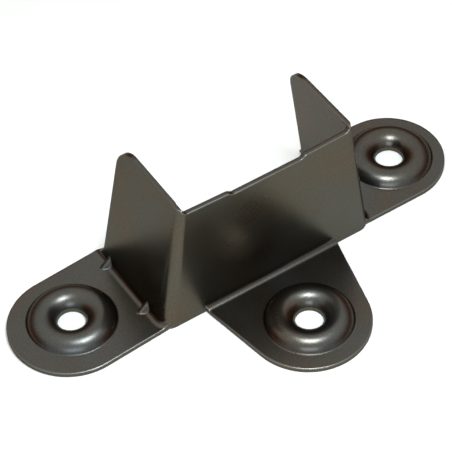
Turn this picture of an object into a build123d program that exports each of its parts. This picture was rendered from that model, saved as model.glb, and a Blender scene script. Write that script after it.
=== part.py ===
"""Bed rail bracket: a socket for the end of a bed rail, pressed and folded from one steel sheet.

An upright front plate turns through two conical bends into two wings that lean inwards over the
rail. Three feet turn outwards from the lower edges, one from each wing and one from the plate, and
each foot has a screw hole in a raised ring. The origin is midway between the screw holes of the
side feet, in the plane of the undersides. X runs along the plate, Y from the plate to the back, where
the rail comes in, and Z up.
"""
import os
from math import asin, cos, pi, radians, sin, tan

from build123d import *

# Driving dimensions, in millimetres and degrees
sheet = 1.0                   # thickness of the steel
foot_bend_radius = 1.2        # inside radius of the bends from the walls to the feet
corner_radius_low = 2.9       # outside radius of the bend from plate to wing, at the base plane
corner_radius_high = 1.6      # and at the top of the wings
plate_half_width = 25.0       # at the base plane, to the outer faces of the wings
wing_lean = 9.0               # of each wing, inwards from upright
wing_height_front = 31.6      # top edge of the wing beside the plate
wing_depth_low = 23.2         # rear edge of the wing, extended to the base plane
left_tip_height = 32.1        # top edge of the left wing at its tip
left_tip_depth = 21.3         # rear edge of the left wing at its tip
left_tip_radius = 5.3
right_tip_height = 31.7
right_tip_depth = 21.1
right_tip_radius = 6.2
wing_flare_radius = 3.6       # rear edge of the wing into the edge of the foot
wing_flare_height = 1.1

plate_height_side = 30.4      # top edge of the plate beside the wings
plate_height_step = 30.05     # top edge of the plate at the ends of its recess
plate_height_middle = 29.42   # top edge of the plate in its recess
recess_half_length = 7.8
recess_run_out = 1.0          # length of the slanted ends of the recess
corner_step_inset = 1.9       # from the outer face of the wing to the step up to its top edge
corner_step_length = 0.8
corner_step_rise = 0.6

side_hole_x = 38.4            # screw holes in the side feet, either side of the origin
side_hole_depth = 12.6        # from the plate's front face back to the side screw holes
left_end_radius = 12.6        # the left foot came out of the press a little larger
left_end_x = -39.05           # middle of its rounded end
left_end_depth = 11.9
left_near_edge = 0.3          # its front edge where it leaves the wing
left_far_edge = 25.5          # and its rear edge
right_end_radius = 11.7
right_end_x = 38.1
right_end_depth = 12.5
right_near_edge = 0.75
right_far_edge = 24.9
root_notch_depth = 0.9        # rounded inner corner from the wing's rear edge to the foot's
root_notch_length = 2.4

front_hole_reach = 13.7       # from the plate's front face forward to the front screw hole
front_end_radius = 12.6
front_end_x = -0.2            # middle of the rounded end
front_end_reach = 13.6
front_root_left = 15.2        # the front foot's edges where it leaves the plate, from the middle
front_root_right = 16.1

hole_radius = 2.85
ring_radius = 9.05            # crease where the raised ring leaves the flat of the foot
crest_height = 2.1            # of the ring, above the flat of the foot
ring_thinning = 0.13          # most that the steel is stretched thinner in the ring
hollow_flats = 3              # slopes that make up the hollow under the ring

dart_places = (6.6, 20.6)     # of the stiffening darts along each wing
dart_leg = 2.6                # reach of a dart up the wing and out on the foot
dart_width = 2.6
dart_ridge_fillet = 0.5
dent_leg = 2.9                # reach of the dent behind a dart, from the corner inside the bend
dent_width = 2.8

# Sizes that follow from them
lean = radians(wing_lean)
wall_across = sheet / cos(lean)                   # the leaning wing's thickness measured along X
outer_bend_radius = foot_bend_radius + sheet
zone_height = 1.5 * outer_bend_radius             # just over the bends to the feet
margin = 5.0                                      # cutters run past what they cut
stock_height = left_tip_height + 1.0
stock_depth = left_far_edge + margin
stock_reach = side_hole_x + left_end_radius + margin
plate_face = -side_hole_depth                     # the plate's front face, in the bracket's own frame
corner_taper = (corner_radius_low - corner_radius_high) * cos(lean) / wing_height_front
front_hole_y = plate_face - front_hole_reach
standing = (Align.CENTER, Align.CENTER, Align.MIN)
from_front = (Align.CENTER, Align.MIN, Align.MIN)


def half_width(height):
    """Half the bracket's width at this height, to the outer faces of the wings."""
    return plate_half_width - height * tan(lean)


def corner_waste(side, inset):
    """Makes what a tapering round bend leaves of the square corner between plate and wing."""
    along = Vector(-side * sin(lean), 0, cos(lean))
    inward = Vector(-side * cos(lean), 0, -sin(lean))
    both_in = inward + Vector(0, 1, 0)
    radius = corner_radius_low - inset
    foot = Vector(side * plate_half_width, plate_face, 0) + both_in * inset
    tip = foot + along * (radius / corner_taper)
    axis = along - both_in * corner_taper

    start = foot - along * margin
    reach = radius + margin * corner_taper
    with BuildPart() as waste:
        with BuildSketch(Plane(start, x_dir=inward, z_dir=along)) as base:
            with Locations(((reach - margin) / 2, -side * (reach - margin) / 2)):
                Rectangle(reach + margin, reach + margin)
        loft(sections=[base.sketch.face(), Vertex(tip.X, tip.Y, tip.Z)], ruled=True)
        length = (tip - start).length + margin
        spread = tan(asin(corner_taper / (1 + 2 * corner_taper**2) ** 0.5))
        with Locations(Plane(tip - axis.normalized() * length, z_dir=axis)):
            Cone(length * spread, 0, length, align=standing, mode=Mode.SUBTRACT)
    return waste.part


def socket_block(inset, overrun):
    """Makes the solid that fills the walls' outer faces, or inset by one sheet, their inner faces."""
    low, high = -overrun, stock_height + overrun
    low_half = half_width(low) - inset / cos(lean)
    high_half = half_width(high) - inset / cos(lean)
    with BuildPart() as block:
        with BuildSketch(Plane((0, plate_face + inset, 0), x_dir=(1, 0, 0), z_dir=(0, -1, 0))):
            with BuildLine() as outline:
                Polyline((-low_half, low), (low_half, low), (high_half, high), (-high_half, high), close=True)
            make_face(outline.edges())
        extrude(amount=-stock_depth)
        for side in (-1, 1):
            add(corner_waste(side, inset), mode=Mode.SUBTRACT)
    return block.part


def runs_round_walls(edge, height):
    """True for an edge at this height that follows the plate, the bends and the wings."""
    place = edge.center()
    depth = place.Y - plate_face
    return abs(place.Z - height) < 1e-3 and abs(place.X) < plate_half_width and -1 < depth < stock_depth - 0.5


def foot_zone_side(side, end_x, end_depth, end_radius, near_edge, far_edge):
    """Draws the outline of one side foot, run inwards past the wing and cut square across the bend."""
    centre_x = plate_half_width - corner_radius_low
    drop = corner_radius_low - near_edge
    cut_x = centre_x + (corner_radius_low**2 - drop**2) ** 0.5
    with BuildLine() as tab:
        CenterArc((end_x, end_depth), end_radius, 0, 360)
        Line((side * cut_x, near_edge), (side * cut_x, far_edge))
    make_hull(tab.edges())
    with BuildLine() as root:
        Polyline(
            (side * cut_x, near_edge),
            (side * centre_x, corner_radius_low),
            (side * centre_x, far_edge),
            (side * cut_x, far_edge),
            close=True,
        )
    make_face(root.edges())
    with BuildLine() as notch:
        Polyline(
            (side * (cut_x + root_notch_length), far_edge),
            (side * (cut_x + root_notch_length), far_edge + margin),
            (side * centre_x, far_edge + margin),
            (side * centre_x, far_edge - root_notch_depth),
            (side * cut_x, far_edge - root_notch_depth),
            close=True,
        )
    make_face(notch.edges(), mode=Mode.SUBTRACT)


def foot_zone_front():
    """Draws the outline of the front foot, run back past the plate."""
    with BuildLine() as tab:
        CenterArc((front_end_x, -front_end_reach), front_end_radius, 0, 360)
        Line((-front_root_left, 0), (front_root_right, 0))
    make_hull(tab.edges())
    with Locations((-front_root_left, 0)):
        Rectangle(front_root_left + front_root_right, margin, align=Align.MIN)


def ring_profile():
    """Draws half the section of a raised ring: an arch from the edge of the hole to the flat of the foot."""
    crest_x = (hole_radius + ring_radius) / 2
    half_span = (ring_radius - hole_radius) / 2
    arch_radius = (half_span**2 + crest_height**2) / (2 * crest_height)
    arch_height = sheet + crest_height - arch_radius
    hollow_radius = arch_radius - sheet + ring_thinning
    first_turn = asin(-arch_height / hollow_radius)
    step = (pi - 2 * first_turn) / hollow_flats
    turns = [first_turn + step * count for count in range(hollow_flats + 1)]
    hollow = [(crest_x + hollow_radius * cos(turn), arch_height + hollow_radius * sin(turn)) for turn in turns]
    with BuildLine() as section:
        ThreePointArc((hole_radius, sheet), (crest_x, sheet + crest_height), (ring_radius, sheet))
        Polyline((ring_radius, sheet), (ring_radius, 0), *hollow, (hole_radius, 0), (hole_radius, sheet))
    make_face(section.edges())


def wing_waste(tip_height, tip_depth, tip_radius):
    """Draws what is cut away above and behind one wing, seen from the side."""
    top_slope = (tip_height - wing_height_front) / tip_depth
    rear_slope = (wing_depth_low - tip_depth) / tip_height
    above = stock_height + margin
    top_front = (-margin, wing_height_front - margin * top_slope)
    flare = (wing_depth_low - rear_slope * wing_flare_height, wing_flare_height)
    behind = (stock_depth + margin, wing_flare_height)
    radii = (tip_radius, wing_flare_radius)
    with BuildLine() as outline:
        FilletPolyline(top_front, (tip_depth, tip_height), flare, behind, radius=radii)
        Polyline(behind, (stock_depth + margin, above), (-margin, above), top_front)
    make_face(outline.edges())


def is_dart_ridge(edge):
    """True for the outward ridge of a stiffening dart."""
    place = edge.center()
    in_middle = any(abs(place.Y - plate_face - depth) < 1e-3 for depth in dart_places)
    return in_middle and place.Z > sheet + dart_leg / 3 and abs(place.X) > half_width(sheet)


def dart(side, place, leg, width, corner_x, corner_z, mode):
    """Adds or cuts a pyramid pair that spans a bend, its ridge running from the wall to the foot."""
    middle = plate_face + place
    section = Plane((side * corner_x, middle, corner_z), x_dir=(side, 0, 0), z_dir=(0, -side, 0))
    with BuildSketch(section) as across:
        with BuildLine() as edge:
            Polyline((leg, 0), (0, 0), (-leg * tan(lean), leg), close=True)
        make_face(edge.edges())
    for end in (-1, 1):
        point = Vertex(side * corner_x, middle + end * width / 2, corner_z)
        loft(sections=[across.sketch.face(), point], mode=mode)


# The plate and wings, open at the back, before anything is trimmed
with BuildPart() as walls:
    add(socket_block(0, 0))
    add(socket_block(sheet, margin), mode=Mode.SUBTRACT)

# The outlines of the three feet, as prisms just taller than the bends
with BuildPart() as zones:
    with BuildSketch(Plane((0, plate_face, -margin))):
        foot_zone_side(-1, left_end_x, left_end_depth, left_end_radius, left_near_edge, left_far_edge)
        foot_zone_side(1, right_end_x, right_end_depth, right_end_radius, right_near_edge, right_far_edge)
        foot_zone_front()
    extrude(amount=margin + zone_height)

# The walls with a flange bent out all round, then cut to the outlines of the feet
middle_half = plate_half_width - wall_across / 2
with BuildPart() as footed:
    add(walls.part)
    with BuildSketch(Plane((0, plate_face, 0))):
        Rectangle(2 * stock_reach, 2 * stock_depth)
        with Locations((0, sheet / 2 + stock_depth / 2)):
            Rectangle(2 * middle_half, stock_depth, mode=Mode.SUBTRACT)
        inside = vertices().filter_by(lambda v: abs(v.Y - sheet / 2) < 1e-4 and abs(v.X) < middle_half + 1e-4)
        fillet(inside, corner_radius_low - sheet / 2)
    extrude(amount=sheet)
    crease = edges().filter_by(lambda e: runs_round_walls(e, sheet))
    fillet(crease, foot_bend_radius)
    underside = edges().filter_by(lambda e: runs_round_walls(e, 0))
    fillet(underside, outer_bend_radius)
    add(zones.part, mode=Mode.INTERSECT)

# What the walls are elsewhere, without the unused stock behind the side feet
with BuildPart() as upright:
    add(walls.part)
    add(zones.part, mode=Mode.SUBTRACT)
    with Locations((0, plate_face + right_far_edge - root_notch_depth, -margin)):
        Box(2 * stock_reach, stock_depth, 2 * stock_height, align=from_front, mode=Mode.SUBTRACT)

# One raised ring with its hole
with BuildPart() as ring:
    with BuildSketch(Plane.XZ):
        ring_profile()
    revolve(axis=Axis.Z)

hole_places = [(-side_hole_x, 0), (side_hole_x, 0), (0, front_hole_y)]

with BuildPart() as rail_bracket:
    add(footed.part)
    add(upright.part)

    # Each wing trimmed to its outline
    from_side = Plane((0, plate_face, 0), x_dir=(0, 1, 0), z_dir=(1, 0, 0))
    with BuildSketch(from_side):
        wing_waste(left_tip_height, left_tip_depth, left_tip_radius)
    extrude(amount=-stock_reach, mode=Mode.SUBTRACT)
    with BuildSketch(from_side):
        wing_waste(right_tip_height, right_tip_depth, right_tip_radius)
    extrude(amount=stock_reach, mode=Mode.SUBTRACT)

    # Plate trimmed to its outline, seen from the front
    with BuildSketch(Plane((0, plate_face, 0), x_dir=(1, 0, 0), z_dir=(0, -1, 0))):
        step_x = half_width(plate_height_side) - corner_step_inset
        step_end_x = step_x + corner_step_length
        with BuildLine():
            Polyline(
                (0, stock_height + margin),
                (0, plate_height_middle),
                (recess_half_length, plate_height_middle),
                (recess_half_length + recess_run_out, plate_height_step),
                (step_x, plate_height_side),
                (step_end_x, plate_height_side + corner_step_rise),
                (step_end_x, stock_height + margin),
                close=True,
            )
        make_face()
        mirror(about=Plane.YZ)
    extrude(amount=corner_radius_high + sheet, both=True, mode=Mode.SUBTRACT)

    # Raised rings round the screw holes
    with Locations(*hole_places):
        Cylinder(ring_radius, 2 * margin, mode=Mode.SUBTRACT)
    with Locations(*hole_places):
        add(ring.part)

    # Stiffening darts pressed across the bends of the side feet
    for side in (-1, 1):
        for place in dart_places:
            dart(side, place, dart_leg, dart_width, half_width(sheet), sheet, Mode.ADD)
            dart(side, place, dent_leg, dent_width, half_width(0) - wall_across, 0, Mode.SUBTRACT)
    fillet(edges().filter_by(is_dart_ridge), dart_ridge_fillet)

rail_bracket.part.label = "rail_bracket"

os.makedirs("parts", exist_ok=True)
export_step(rail_bracket.part, "parts/rail_bracket.step")
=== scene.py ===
"""Bed rail bracket of burnished steel on a white table, seen from its front left and above.

The bracket is one folded sheet and comes whole from the frame. This script gives it its finish, sets
it on a table, and places the room's light, one small lamp close above, a window and the camera.
"""

import logging
from dataclasses import dataclass
from enum import Enum
from math import cos, pi, radians, sin

import bpy
from mathutils import Matrix, Vector


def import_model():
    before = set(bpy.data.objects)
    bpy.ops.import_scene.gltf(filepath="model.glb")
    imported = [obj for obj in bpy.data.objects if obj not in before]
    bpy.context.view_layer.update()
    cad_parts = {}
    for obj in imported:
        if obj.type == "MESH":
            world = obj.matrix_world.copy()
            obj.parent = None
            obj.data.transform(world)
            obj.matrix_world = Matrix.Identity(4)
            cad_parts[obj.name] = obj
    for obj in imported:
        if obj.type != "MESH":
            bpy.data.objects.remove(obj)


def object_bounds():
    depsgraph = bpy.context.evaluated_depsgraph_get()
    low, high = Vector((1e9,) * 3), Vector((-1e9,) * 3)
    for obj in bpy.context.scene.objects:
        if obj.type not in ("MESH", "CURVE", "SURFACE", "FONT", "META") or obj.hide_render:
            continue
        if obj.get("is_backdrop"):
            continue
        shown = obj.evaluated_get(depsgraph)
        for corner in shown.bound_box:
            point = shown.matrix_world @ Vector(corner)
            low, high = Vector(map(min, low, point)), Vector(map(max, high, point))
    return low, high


log = logging.getLogger("bracket")

MM = 0.001
IMAGE_SIZE = 452            # pixels, both ways
SENSOR_WIDTH = 36.0         # millimetres
CLIP_START = 0.01           # metres
CLIP_END = 20.0             # metres
CAMERA_AZIMUTH = -31.76     # degrees about Z, 0 looking along +Y
EDGE_SAMPLES = 8            # rays that look for an edge at each point

Place = tuple[float, float, float]
Span = tuple[float, float]
Colour = tuple[float, float, float, float]
ORIGIN: Place = (0.0, 0.0, 0.0)


def linear(hex_colour: str) -> Colour:
    """Turns an sRGB hex colour into the linear colour that a shader takes.

    Args:
        hex_colour: such as "#80C0FF".

    Returns:
        Red, green, blue and an alpha of 1.
    """
    channels = []
    for start in (1, 3, 5):
        value = int(hex_colour[start:start + 2], 16) / 255
        # The sRGB curve is straight for the darkest colours and a power of 2.4 for the rest
        channels.append(value / 12.92 if value <= 0.04045 else ((value + 0.055) / 1.055) ** 2.4)
    return (*channels, 1.0)


@dataclass
class NodeTree:
    """A shader tree under construction, for a material or for the world.

    Attributes:
        tree: the Blender tree, emptied at the start.
    """

    tree: bpy.types.NodeTree

    def __post_init__(self) -> None:
        self.tree.nodes.clear()

    def add(self, kind: str, inputs: dict | None = None, **settings) -> bpy.types.Node:
        """Adds one node.

        Args:
            kind: the node's type name without its prefix, such as "TexNoise".
            inputs: what each input gets, by name or index: a value, or another node's output.
            settings: properties of the node itself.

        Returns:
            The new node.
        """
        node = self.tree.nodes.new("ShaderNode" + kind)
        for key, value in settings.items():
            setattr(node, key, value)
        sockets = node.inputs
        if kind == "Mix":
            # It has an A, a B and a Factor for every type of data, and only the right ones are enabled
            sockets = {socket.name: socket for socket in node.inputs if socket.enabled}
        for key, value in (inputs or {}).items():
            if isinstance(value, bpy.types.NodeSocket):
                self.tree.links.new(value, sockets[key])
            else:
                sockets[key].default_value = value
        return node

    def noise(
        self, place: bpy.types.NodeSocket, size: float, detail: float, roughness: float
    ) -> bpy.types.NodeSocket:
        """Adds a noise.

        Args:
            place: the coordinates it is drawn in, in metres.
            size: of its lumps, in millimetres.
            detail: how many finer layers lie on the lumps.
            roughness: how strong those layers are.

        Returns:
            Its value, about 0.5 on average.
        """
        inputs = {"Vector": place, "Scale": 1 / (size * MM), "Detail": detail, "Roughness": roughness}
        return self.add("TexNoise", inputs).outputs["Fac"]

    def spread(
        self, value: bpy.types.NodeSocket, given: Span, wanted: Span = (0.0, 1.0)
    ) -> bpy.types.NodeSocket:
        """Adds a step that carries one span of values over to another.

        Args:
            value: the value to carry over.
            given: the span that it runs through. Beyond it, the result stays at its end.
            wanted: the span that the result runs through.

        Returns:
            The result.
        """
        inputs = {
            "Value": value,
            "From Min": given[0],
            "From Max": given[1],
            "To Min": wanted[0],
            "To Max": wanted[1],
        }
        return self.add("MapRange", inputs).outputs["Result"]

    def blend(
        self,
        share: bpy.types.NodeSocket,
        first: bpy.types.NodeSocket | Colour,
        second: bpy.types.NodeSocket | Colour,
    ) -> bpy.types.NodeSocket:
        """Adds a blend of two colours.

        Args:
            share: how much of the second colour there is, from 0 to 1.
            first: a colour, or another node's output.
            second: a colour, or another node's output.

        Returns:
            The blended colour.
        """
        inputs = {"Factor": share, "A": first, "B": second}
        return self.add("Mix", inputs, data_type="RGBA").outputs["Result"]


@dataclass(frozen=True)
class BurnishedSteel:
    """Burnished mild steel: cold-rolled sheet, pressed, tumbled and blackened with oil.

    To the eye it is a dark, warm grey metal with a soft shine, a fine grain and slightly lighter edges,
    whose lightness is partly rubbed-off black and partly a painted highlight.
    Lengths are in millimetres.

    Attributes:
        base: colour of most of the surface, sRGB hex.
        warm: browner colour in its clouds.
        pale: greyer colour where the black is thin.
        worn_and_edge_highlight: colour of the grain's rubbed high points, and of the outward edges,
            where it is partly rubbed-off black and partly a painted highlight.
        cloud_size: size of the colour's clouds.
        cloud_span: noise values at which the clouds are fully warm and fully pale.
        cloud_detail: how many finer layers the clouds have.
        cloud_breaks: how strong those layers are.
        grain_size: size of the fine grain. It is drawn coarser than the real 0.1 so that it shows.
        grain_detail: how many finer layers the grain has.
        grain_breaks: how strong those layers are.
        grain_height: height of that grain.
        grain_strength: how much of the grain's slope the light feels.
        speckle: how far the grain's high points go toward the worn colour.
        speckle_span: grain heights at which that starts and is complete, 0.5 being the middle.
        edge_round: radius of the tumbled edges.
        edge_span: share of the inward rays that meet no other face, where the lighter edges, partly
            rubbed-off black and partly painted highlight, start and are complete.
        roughness: middle of the roughness.
        roughness_spread: how far the clouds move the roughness, either way.
        glancing: how much of the glancing shine the oiled black keeps.
    """

    base: str
    warm: str
    pale: str
    worn_and_edge_highlight: str
    cloud_size: float
    cloud_span: Span
    cloud_detail: float
    cloud_breaks: float
    grain_size: float
    grain_detail: float
    grain_breaks: float
    grain_height: float
    grain_strength: float
    speckle: float
    speckle_span: Span
    edge_round: float
    edge_span: Span
    roughness: float
    roughness_spread: float
    glancing: float

    def material(self) -> bpy.types.Material:
        """Makes the material.

        Returns:
            The material, ready for a mesh.
        """
        material = bpy.data.materials.new("burnished_steel")
        material.use_nodes = True
        steel = NodeTree(material.node_tree)
        place = steel.add("TexCoord").outputs["Object"]

        # Soft clouds where the blackening took unevenly
        clouds = steel.noise(place, self.cloud_size, self.cloud_detail, self.cloud_breaks)
        tones = steel.add("ValToRGB", {"Fac": clouds})
        ramp = tones.color_ramp
        ramp.elements[0].position = self.cloud_span[0]
        ramp.elements[0].color = linear(self.warm)
        ramp.elements[1].position = self.cloud_span[1]
        ramp.elements[1].color = linear(self.pale)
        ramp.elements.new(sum(self.cloud_span) / 2).color = linear(self.base)
        roughness_span = (self.roughness - self.roughness_spread, self.roughness + self.roughness_spread)
        rough = steel.spread(clouds, self.cloud_span, roughness_span)

        # Tumbling rounds every edge. The outward edges are also made lighter, partly as rubbed-off black
        # and partly as a painted highlight along their rims
        reach = self.edge_round * MM
        rounded = steel.add("Bevel", {"Radius": reach}, samples=EDGE_SAMPLES).outputs["Normal"]
        within = steel.add(
            "AmbientOcclusion", {"Distance": reach}, samples=EDGE_SAMPLES, inside=True
        ).outputs["AO"]
        edge = steel.spread(within, self.edge_span)

        # It also leaves a fine grain, lighter where its high points are rubbed
        grain = steel.noise(place, self.grain_size, self.grain_detail, self.grain_breaks)
        rubbed = steel.spread(grain, self.speckle_span, (0.0, self.speckle))
        # The lighter colour is a painted highlight in part on the outward edges, and rubbed wear on the
        # grain's high points
        wear_and_highlight_share = steel.add("Math", {0: edge, 1: rubbed}, operation="MAXIMUM").outputs["Value"]
        colour = steel.blend(wear_and_highlight_share, tones.outputs["Color"], linear(self.worn_and_edge_highlight))
        bumpy = steel.add(
            "Bump",
            {
                "Height": grain,
                "Strength": self.grain_strength,
                "Distance": self.grain_height * MM,
                "Normal": rounded,
            },
        ).outputs["Normal"]
        shader = steel.add(
            "BsdfPrincipled",
            {
                "Base Color": colour,
                "Metallic": 1.0,
                "Roughness": rough,
                "Normal": bumpy,
                "Specular Tint": (self.glancing, self.glancing, self.glancing, 1.0),
            },
        )
        steel.add("OutputMaterial", {"Surface": shader.outputs["BSDF"]})
        return material


@dataclass
class RailBracket:
    """The folded bracket, whose mesh comes whole from the frame.

    Attributes:
        node: its node's name in the frame.
        finish: how its steel is finished.
    """

    node: str
    finish: BurnishedSteel

    def dress(self) -> None:
        """Gives the bracket its finish."""
        mesh = bpy.data.objects[self.node].data
        mesh.materials.clear()
        mesh.materials.append(self.finish.material())
        log.info("%s: %d faces of %s", self.node, len(mesh.polygons), mesh.materials[0].name)


@dataclass
class Table:
    """The plain white table top.

    Attributes:
        half_width: from its middle to its sides, in metres.
        colour: sRGB hex.
        roughness: of its surface.
    """

    half_width: float
    colour: str
    roughness: float

    def lay(self, level: float) -> None:
        """Lays the table top.

        Args:
            level: its height, in metres.
        """
        half = self.half_width
        corners = [
            (-half, -half, level), (half, -half, level), (half, half, level), (-half, half, level)
        ]
        mesh = bpy.data.meshes.new("table_top")
        mesh.from_pydata(corners, [], [(0, 1, 2, 3)])
        mesh.materials.append(self.laminate())
        table = bpy.data.objects.new("table_top", mesh)
        bpy.context.collection.objects.link(table)
        table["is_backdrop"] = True
        log.info("table top at %.5f m", level)

    def laminate(self) -> bpy.types.Material:
        """Makes its matt white laminate.

        Returns:
            The material.
        """
        material = bpy.data.materials.new("white_laminate")
        material.use_nodes = True
        white = NodeTree(material.node_tree)
        inputs = {"Base Color": linear(self.colour), "Roughness": self.roughness}
        shader = white.add("BsdfPrincipled", inputs)
        white.add("OutputMaterial", {"Surface": shader.outputs["BSDF"]})
        return material


class LampShape(Enum):
    """Outline of a soft lamp, as Blender names it."""

    RECTANGLE = "RECTANGLE"
    ELLIPSE = "ELLIPSE"

    def area(self, width: float, height: float) -> float:
        """Works out the area of a lamp of this outline.

        Args:
            width: in metres.
            height: in metres.

        Returns:
            The area in square metres.
        """
        share = 1.0 if self is LampShape.RECTANGLE else pi / 4
        return share * width * height


@dataclass(frozen=True)
class SoftLamp:
    """A soft lamp outside the picture.

    Attributes:
        name: the lamp's name.
        position: its middle, in metres.
        aim: the point it faces, in metres.
        size: its width and height, in metres.
        brightness: of its surface. Its power is pi times this and its area.
        colour: sRGB hex.
        shape: its outline.
    """

    name: str
    position: Place
    aim: Place
    size: tuple[float, float]
    brightness: float
    colour: str
    shape: LampShape

    def hang(self) -> None:
        """Hangs the lamp in its place."""
        light = bpy.data.lights.new(self.name, "AREA")
        light.shape = self.shape.value
        light.size, light.size_y = self.size
        light.energy = self.brightness * pi * self.shape.area(*self.size)
        light.color = linear(self.colour)[:3]
        stand = bpy.data.objects.new(self.name, light)
        stand.location = self.position
        direction = Vector(self.aim) - Vector(self.position)
        stand.rotation_euler = direction.to_track_quat("-Z", "Y").to_euler()
        bpy.context.collection.objects.link(stand)
        log.info("lamp %s", self.name)


@dataclass(frozen=True)
class Room:
    """The surroundings: pale above, browner near the horizon, and cooler there on one side.

    Heights are given as the sine of the elevation.

    Attributes:
        low: colour near the horizon, sRGB hex.
        front: colour near the horizon on the camera's side.
        high: colour overhead.
        low_top: height at which the low colours start to fade.
        high_start: height at which the high colour is reached.
        front_azimuth: degrees about Z of the front's middle, 0 looking along +Y.
        front_span: cosines of the angle from that middle where the front colour starts and is complete.
        brightness: of the white parts.
    """

    low: str
    front: str
    high: str
    low_top: float
    high_start: float
    front_azimuth: float
    front_span: Span
    brightness: float

    def surround(self) -> None:
        """Makes the world's light."""
        world = bpy.data.worlds.new("room")
        bpy.context.scene.world = world
        world.use_nodes = True
        room = NodeTree(world.node_tree)
        azimuth = radians(self.front_azimuth)
        toward_front = (sin(azimuth), -cos(azimuth), 0.0)
        way = room.add("TexCoord").outputs["Generated"]
        height = room.add("SeparateXYZ", {0: way}).outputs["Z"]
        ahead = room.add(
            "VectorMath", {0: way, 1: toward_front}, operation="DOT_PRODUCT"
        ).outputs["Value"]
        frontness = room.spread(ahead, self.front_span)
        near_horizon = room.blend(frontness, linear(self.low), linear(self.front))
        overhead = room.spread(height, (self.low_top, self.high_start))
        colour = room.blend(overhead, near_horizon, linear(self.high))
        background = room.add("Background", {"Color": colour, "Strength": self.brightness})
        room.add("OutputWorld", {"Surface": background.outputs["Background"]})


@dataclass(frozen=True)
class View:
    """Where the camera stands.

    Attributes:
        azimuth: degrees about Z, 0 looking along +Y.
        elevation: degrees above the table.
        roll: degrees, turning the camera about its own axis.
        distance: from the aim point, in metres.
        focal_pixels: focal length in pixels of the square image.
        aim: the point in the middle of the picture, in metres.
    """

    azimuth: float
    elevation: float
    roll: float
    distance: float
    focal_pixels: float
    aim: Place

    def place_camera(self) -> None:
        """Places the camera and makes it the scene's."""
        azimuth, elevation, roll = radians(self.azimuth), radians(self.elevation), radians(self.roll)
        back = Vector((sin(azimuth) * cos(elevation), -cos(azimuth) * cos(elevation), sin(elevation)))
        right = Vector((cos(azimuth), sin(azimuth), 0.0))
        up = back.cross(right)
        rolled_right = cos(roll) * right + sin(roll) * up
        rolled_up = cos(roll) * up - sin(roll) * right

        camera = bpy.data.cameras.new("camera")
        camera.sensor_width = SENSOR_WIDTH
        camera.lens = self.focal_pixels * SENSOR_WIDTH / IMAGE_SIZE
        camera.clip_start = CLIP_START
        camera.clip_end = CLIP_END
        stand = bpy.data.objects.new("camera", camera)
        turn = Matrix((rolled_right, rolled_up, back)).transposed().to_4x4()
        stand.matrix_world = Matrix.Translation(Vector(self.aim) + self.distance * back) @ turn
        bpy.context.collection.objects.link(stand)
        bpy.context.scene.camera = stand


BRACKET = RailBracket(
    node="rail_bracket",
    finish=BurnishedSteel(
        base="#504C43",
        warm="#54493C",
        pale="#515049",
        # lighter colour of the rubbed grain, and of the outward edges, where it also paints a highlight
        worn_and_edge_highlight="#7C766C",
        cloud_size=17.0,
        cloud_span=(0.3, 0.7),
        cloud_detail=3.0,
        cloud_breaks=0.5,
        grain_size=0.35,
        grain_detail=2.0,
        grain_breaks=0.6,
        grain_height=0.03,
        grain_strength=0.2,
        speckle=0.22,
        speckle_span=(0.5, 0.72),
        edge_round=0.48,
        edge_span=(0.8, 0.5),
        roughness=0.295,
        roughness_spread=0.035,
        glancing=0.56,
    ),
)

TABLE = Table(half_width=3.0, colour="#E5E0D0", roughness=0.7)

LAMPS = [
    SoftLamp(
        name="overhead",
        position=(-0.008, -0.048, 0.175),
        aim=ORIGIN,
        size=(0.062, 0.062),
        brightness=37.0,
        colour="#D9EAFF",
        shape=LampShape.ELLIPSE,
    ),
    SoftLamp(
        name="window",
        position=(-0.24, -0.39, 0.24),
        aim=ORIGIN,
        size=(0.30, 0.16),
        brightness=4.5,
        colour="#C9DFFF",
        shape=LampShape.RECTANGLE,
    ),
]

ROOM = Room(
    low="#78401A",
    front="#C4D4EC",
    high="#F0F5FF",
    low_top=0.38,
    high_start=0.68,
    front_azimuth=CAMERA_AZIMUTH,
    front_span=(0.25, 0.65),
    brightness=1.2,
)

PHOTO_VIEW = View(
    azimuth=CAMERA_AZIMUTH,
    elevation=47.96,
    roll=-2.33,
    distance=0.46425,
    focal_pixels=2333.0,
    aim=(-0.002886, -0.001441, 0.007187),
)


def main() -> None:
    """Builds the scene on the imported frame."""
    logging.basicConfig(level=logging.INFO)
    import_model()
    cad_box = [list(corner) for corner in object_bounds()]
    BRACKET.dress()
    lowest = cad_box[0][2]
    TABLE.lay(lowest)
    for lamp in LAMPS:
        lamp.hang()
    ROOM.surround()
    PHOTO_VIEW.place_camera()
    bpy.context.scene.view_settings.view_transform = "Standard"


if __name__ == "__main__":
    main()
